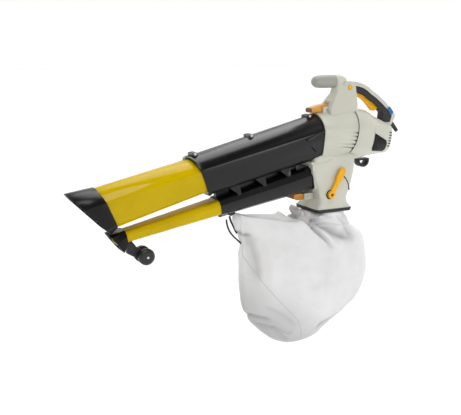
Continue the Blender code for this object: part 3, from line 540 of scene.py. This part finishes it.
def settle(cloth, pinned, frames=18):
    """Lets the cloth hang from its pinned rim for a moment and keeps that shape, within a few millimetres."""
    start = [v.co.copy() for v in cloth.data.vertices]
    group = cloth.vertex_groups.new(name="pinned")
    group.add(pinned, 1.0, "REPLACE")
    sim = cloth.modifiers.new("hang", "CLOTH")
    sim.settings.quality = 4
    sim.settings.mass = 0.12
    sim.settings.tension_stiffness = 18
    sim.settings.compression_stiffness = 12
    sim.settings.shear_stiffness = 6
    sim.settings.bending_stiffness = 0.35
    sim.settings.vertex_group_mass = "pinned"
    sim.settings.use_pressure = True
    sim.settings.uniform_pressure_force = 0.35
    sim.settings.shrink_min = -0.035
    sim.settings.shrink_max = -0.035
    sim.collision_settings.use_collision = False
    sim.point_cache.frame_start = 1
    sim.point_cache.frame_end = frames
    scene = bpy.context.scene
    for number in range(1, frames + 1):
        scene.frame_set(number)
    graph = bpy.context.evaluated_depsgraph_get()
    hung = cloth.evaluated_get(graph)
    places = [v.co.copy() for v in hung.data.vertices]
    cloth.modifiers.remove(sim)
    scene.frame_set(1)
    for vertex, old, new in zip(cloth.data.vertices, start, places):
        shift = new - old
        reach = shift.length
        if reach > BAG_GIVE:
            shift *= BAG_GIVE / reach
        vertex.co = old + shift
    cloth.data.update()


def paint_crease_shade(mesh, shares):
    """How much painted shade darkens the cloth at each point, in fold valleys and between pleats, which the
    cloth's material reads.
    """
    held = mesh.attributes.new("crease", "FLOAT", "POINT")
    for spot, share in zip(held.data, shares):
        spot.value = min(1.0, max(0.0, share))


def cloth_bag(frame):
    """The hanging bag with its seams, stitching, gathered neck and a blank label loop."""
    profile = bag_profile()
    points, sides = [], []
    for row in profile:
        for j in range(BAG_AROUND):
            angle = 2 * math.pi * j / BAG_AROUND
            points.append(bag_point(row, angle))
            sides.append(-1 if math.sin(angle) < 0 else 1)
    faces = ring_faces(len(profile), BAG_AROUND)
    last = len(points) - BAG_AROUND
    half = BAG_AROUND // 2
    for j in range(half - 1):
        k = last + BAG_AROUND - 1 - j
        faces.append((last + j + 1, last + j, k, k - 1) if j else (last + 1, last, k))
    bag = shape_object("bag_cloth_sheet", [placed(p) for p in points], faces, "bag_cloth")
    mesh = bag.data
    pinned = [i for i, p in enumerate(points) if i < 2 * BAG_AROUND or (p.x < -276 and p.z > -252)]
    settle(bag, pinned)
    normals = [v.normal.copy() for v in mesh.vertices]
    rises = [bag_relief(point, side) for point, side in zip(points, sides)]
    for vertex, normal, rise in zip(mesh.vertices, normals, rises):
        vertex.co += normal * (rise * MM)
    # Painted shade in the fold valleys, darkest where a fold is deepest.
    paint_crease_shade(mesh, [-rise / CREASE_SHADE_DEPTH for rise in rises])
    body = frame["nodes"]["collection_bag"]["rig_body"]
    with_it = []
    for side, name in ((1, "left"), (-1, "right")):
        line = []
        for i, row in enumerate(profile):
            seam = seam_angle(row[0])
            if not SEAM_FOOT < row[0] <= SEAM_TOP:
                continue
            index = (BAG_AROUND * (math.pi + side * seam) / (2 * math.pi)) % BAG_AROUND
            j = int(index)
            a = mesh.vertices[i * BAG_AROUND + j].co
            b = mesh.vertices[i * BAG_AROUND + (j + 1) % BAG_AROUND].co
            line.append(a.lerp(b, index - j))
        with_it.append(tube_along(f"bag_seam_{name}", line, SEAM_RADIUS, "bag_thread", 6))
    rows = range(REAR_SEAM_SPARE, len(profile) - REAR_SEAM_SPARE)
    rear = [mesh.vertices[i * BAG_AROUND].co.copy() for i in rows]
    with_it.append(tube_along("bag_seam_rear", rear, REAR_SEAM_RADIUS, "bag_thread", 6))
    with_it.append(neck_gather())
    with_it.append(seam_tab())
    thick = bag.modifiers.new("cloth_thickness", "SOLIDIFY")
    thick.thickness = BAG_THICK
    thick.offset = -1.0
    for piece in [bag, *with_it]:
        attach(piece, body)
    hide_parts("collection_bag")
    return bag


def neck_gather():
    """The elasticated edge of the bag's mouth, bunched in pleats in front of the collar."""
    points, shares = [], []
    count, around = 140, 18
    for i in range(count):
        share = i / (count - 1)
        y = 66.0 - 76.0 * share
        swell = math.sin(math.pi * min(1.0, 0.06 + 0.94 * share)) ** 0.5
        pleat = abs(math.sin(share * 27.0 + 1.1 * math.sin(share * 9.0))) ** 0.7
        for k in range(around):
            turn = 2 * math.pi * k / around
            out = (3.5 + 9.5 * pleat) * (0.35 + 0.65 * swell)
            tall = (13.0 + 4.5 * pleat) * (0.35 + 0.65 * swell)
            x = -47.0 - 2.5 * swell + out * math.cos(turn) * (0.55 if math.cos(turn) > 0 else 1.0)
            z = -250.0 - 12.0 * share + tall * math.sin(turn)
            points.append(placed((x, y, z)))
            # Painted shade between the pleats.
            shares.append(0.9 * (1 - pleat) ** 1.5)
    faces = ring_faces(count, around)
    faces += [tuple(range(around)), tuple(range(len(points) - around, len(points)))]
    made = shape_object("bag_neck_gather", points, faces, "bag_cloth")
    paint_crease_shade(made.data, shares)
    return made


def seam_tab():
    """A short label loop sewn into the rear seam, left blank."""
    outline = ((150, -531), (168, -538), (160, -566), (143, -560))
    points = []
    for y in (-21.2, -18.8):
        points += [placed((x, y, z)) for x, z in outline]
    faces = [(0, 1, 2, 3), (4, 5, 6, 7), (0, 1, 5, 4), (1, 2, 6, 5), (2, 3, 7, 6), (3, 0, 4, 7)]
    return shape_object("bag_seam_tab", points, faces, "bag_cloth", False)


def plate(name, outline, y0, y1, material, place, body):
    """A flat piece of (x, z) points between two y, in the frame that place stands for."""
    count = len(outline)
    points = [place((x, y, z)) for y in (y0, y1) for x, z in outline]
    faces = [tuple(range(count)), tuple(range(count, 2 * count))]
    faces += [(i, (i + 1) % count, count + (i + 1) % count, count + i) for i in range(count)]
    made = shape_object(name, points, faces, material, False)
    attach(made, body)
    return made


def round_outline(x, z, radius, count=24):
    turn = 2 * math.pi / count
    return [(x + radius * math.cos(i * turn), z + radius * math.sin(i * turn)) for i in range(count)]


def trim_details(frame):
    """Small mouldings that the CAD leaves plain: seams, slits, recesses, marks and dark pads."""
    body = frame["nodes"]["housing_left"]["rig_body"]
    turns = [math.pi * i / 36 for i in range(73)]
    ring = [in_motor((BELL_X, BELL_RADIUS * math.sin(a), BELL_RADIUS * math.cos(a))) for a in turns]
    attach(tube_along("bell_seam", ring, 0.0011, "shadow_gap", 6), body)
    for side in (-1, 1):
        name = "left" if side < 0 else "right"
        for i in range(6):
            z = 21.0 - 9.0 * i
            y = 49.6 * (1 - abs(z / 50.5) ** 2.8) ** (1 / 2.8)
            outline = ((133, z - 1.7), (147, z - 1.7), (147, z + 1.7), (133, z + 1.7))
            sunk, proud = side * (y - 3), side * (y + 0.9)
            plate(f"cover_slit_{name}_{i}", outline, sunk, proud, "shadow_gap", in_motor, body)
    arc = [math.radians(62 - 8 * i) for i in range(8)]
    outer = [(19 + 78 * math.cos(a), -189 + 78 * math.sin(a)) for a in arc]
    inner = [(19 + 75 * math.cos(a), -189 + 75 * math.sin(a)) for a in reversed(arc)]
    plate("lever_slot", outer + inner, -52, -58.6, "shadow_gap", placed, body)
    plate("lever_recess", round_outline(19, -189, 15.5), -62.0, -62.35, "shadow_gap", placed, body)
    tube_body = frame["nodes"]["rear_tube_left"]["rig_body"]
    for side in (-1, 1):
        name = "left" if side < 0 else "right"
        for i, outline in enumerate(TUBE_WEDGES):
            flare = [66.8 - 0.153 * (18 - z) for x, z in outline]
            y = sum(flare) / len(flare)
            sunk, proud = side * (y - 1.5), side * (y + 4.4)
            plate(f"tube_wedge_{name}_{i}", outline, sunk, proud, "satin_black", in_tube, tube_body)
    for latch, outline in LATCH_PADS.items():
        latch_body = frame["nodes"][latch]["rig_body"]
        plate(f"{latch}_pad", outline, -PAD_HALF, PAD_HALF, "catch_brown", placed, latch_body)


def elastics(frame):
    """The second strand of the strap that hooks the bag up under the tube."""
    body = frame["nodes"]["bag_elastic"]["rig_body"]
    guides = ((-309, 3, -240), (-304, 3, -256), (-296, 3, -272), (-290, 2, -286), (-284, 1, -296))
    path = curve_through([placed(p) for p in guides], 8)
    strand = tube_along("bag_elastic_strand", path, STRAND_RADIUS, "elastic_black")
    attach(strand, body)


# ---------------------------------------------------------------- carried-over parts


def bulge_sides(shape, wide, narrow, high, low, swell):
    """Rounds the flat outer sides of a duct between its crease and its lower corner."""
    to_tube = Matrix.Rotation(TUBE_SLOPE, 4, "Y") @ Matrix.Translation(HOLD * MM)
    shape.transform(to_tube)
    steps = 7
    for i in range(1, steps):
        level = (low + (high - low) * i / steps) * MM
        geometry = list(shape.verts) + list(shape.edges) + list(shape.faces)
        bmesh.ops.bisect_plane(shape, geom=geometry, dist=1e-6, plane_co=(0, 0, level), plane_no=(0, 0, 1))
    for vertex in shape.verts:
        x, y, z = vertex.co / MM
        if not low + 1 < z < high - 1:
            continue
        side = narrow + (wide - narrow) * (z - low) / (high - low)
        if abs(abs(y) - side) < 1.2:
            middle = (2 * z - high - low) / (high - low)
            vertex.co.y += math.copysign(swell * (1 - middle**2), y) * MM
    shape.transform(to_tube.inverted())


def skinned(frame, node, sharp=20.0):
    """The node with its facets shaded round and its edges broken, which stands for it."""
    source = frame["nodes"][node]
    mesh = source.data.copy()
    shape = bmesh.new()
    shape.from_mesh(mesh)
    if node in BULGED:
        bulge_sides(shape, *BULGED[node])
    bmesh.ops.remove_doubles(shape, verts=shape.verts, dist=0.00002)
    if node == "bag_elastic":
        shape.normal_update()
        for vertex, normal in [(v, v.normal.copy()) for v in shape.verts]:
            vertex.co += normal * (ELASTIC_SWELL * MM)
    bmesh.ops.dissolve_limit(
        shape, angle_limit=math.radians(0.6), verts=shape.verts, edges=shape.edges
    )
    shape.to_mesh(mesh)
    shape.free()
    piece = bpy.data.objects.new(node + "_skin", mesh)
    bpy.context.scene.collection.objects.link(piece)
    mesh.shade_smooth()
    bevel = piece.modifiers.new("edges", "BEVEL")
    bevel.width = SOFT_CREASES.get(node, EDGE_ROUND) * MM
    bevel.segments = 2
    bevel.limit_method = "ANGLE"
    bevel.angle_limit = math.radians(sharp)
    bevel.harden_normals = True
    paint(piece, finish_of(node))
    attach(piece, source["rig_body"])
    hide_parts(node)
    return piece


# ---------------------------------------------------------------- stage


def build_stage(lowest):
    """Camera, pale floor, soft overhead and side light, and a white surround."""
    lens = bpy.data.cameras.new("camera")
    lens.lens = LENS
    lens.sensor_width = 36.0
    camera = bpy.data.objects.new("camera", lens)
    camera.location = CAMERA_PLACE
    camera.rotation_euler = (math.pi / 2 - ELEVATION, 0.0, AZIMUTH)
    bpy.context.scene.collection.objects.link(camera)
    bpy.context.scene.camera = camera

    bpy.ops.mesh.primitive_plane_add(size=2 * FLOOR_HALF, location=(0, 0, lowest - FLOOR_BELOW))
    floor = bpy.context.object
    floor.name = "floor"
    made, tree, surface = new_material("floor_white")
    surface.inputs["Base Color"].default_value = (0.82, 0.82, 0.82, 1.0)
    surface.inputs["Roughness"].default_value = 0.9
    surface.inputs["Specular IOR Level"].default_value = 0.1
    floor.data.materials.append(made)

    light = bpy.data.lights.new("key", "SUN")
    light.energy = 1.36
    light.angle = math.radians(30.0)
    lamp = bpy.data.objects.new("key", light)
    lamp.rotation_euler = Vector((-0.10, -0.48, 0.87)).to_track_quat("Z", "Y").to_euler()
    bpy.context.scene.collection.objects.link(lamp)

    light = bpy.data.lights.new("side_box", "AREA")
    light.shape = "RECTANGLE"
    light.size, light.size_y = 1.5, 0.35
    light.energy = 7.0
    lamp = bpy.data.objects.new("side_box", light)
    lamp.location = (0.75, -2.5, -0.15)
    lamp.rotation_euler = Vector((0.40, -0.92, -0.02)).to_track_quat("Z", "Y").to_euler()
    bpy.context.scene.collection.objects.link(lamp)

    world = bpy.data.worlds.new("surround")
    world.use_nodes = True
    bpy.context.scene.world = world
    tree = world.node_tree
    gaze = tree.nodes.new("ShaderNodeTexCoord").outputs["Generated"]

    def toward(direction):
        made = tree.nodes.new("ShaderNodeVectorMath")
        made.operation = "DOT_PRODUCT"
        made.inputs[1].default_value = direction
        tree.links.new(gaze, made.inputs[0])
        return made.outputs["Value"]

    up = toward((0, 0, 1))
    ceiling = ranged(tree, up, 1.0, 0.10, 0.60, 0.80)
    backdrop = ranged(tree, toward((0.45, 0.89, 0.0)), 0.34, 1.0, -0.25, 0.25)
    horizon = ranged(tree, up, 1.0, 0.0, 0.10, 0.14)
    softbox = ranged(tree, toward((0.22, 0.38, 0.90)), 0.0, 4.6, 0.90, 0.945)
    level = joined(tree, "MAXIMUM", joined(tree, "MULTIPLY", ceiling, backdrop), horizon)
    level = joined(tree, "ADD", level, softbox)
    tree.links.new(level, tree.nodes["Background"].inputs["Strength"])
    tree.nodes["Background"].inputs["Color"].default_value = (1.0, 1.0, 1.0, 1.0)
    bpy.context.scene.view_settings.view_transform = "Standard"


# ---------------------------------------------------------------- build

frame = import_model()
cad_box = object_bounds()
build_stage(cad_box[0][2])
for node_name in sorted(frame["nodes"]):
    if node_name != "collection_bag":
        skinned(frame, node_name)
cloth_bag(frame)
elastics(frame)
trim_details(frame)
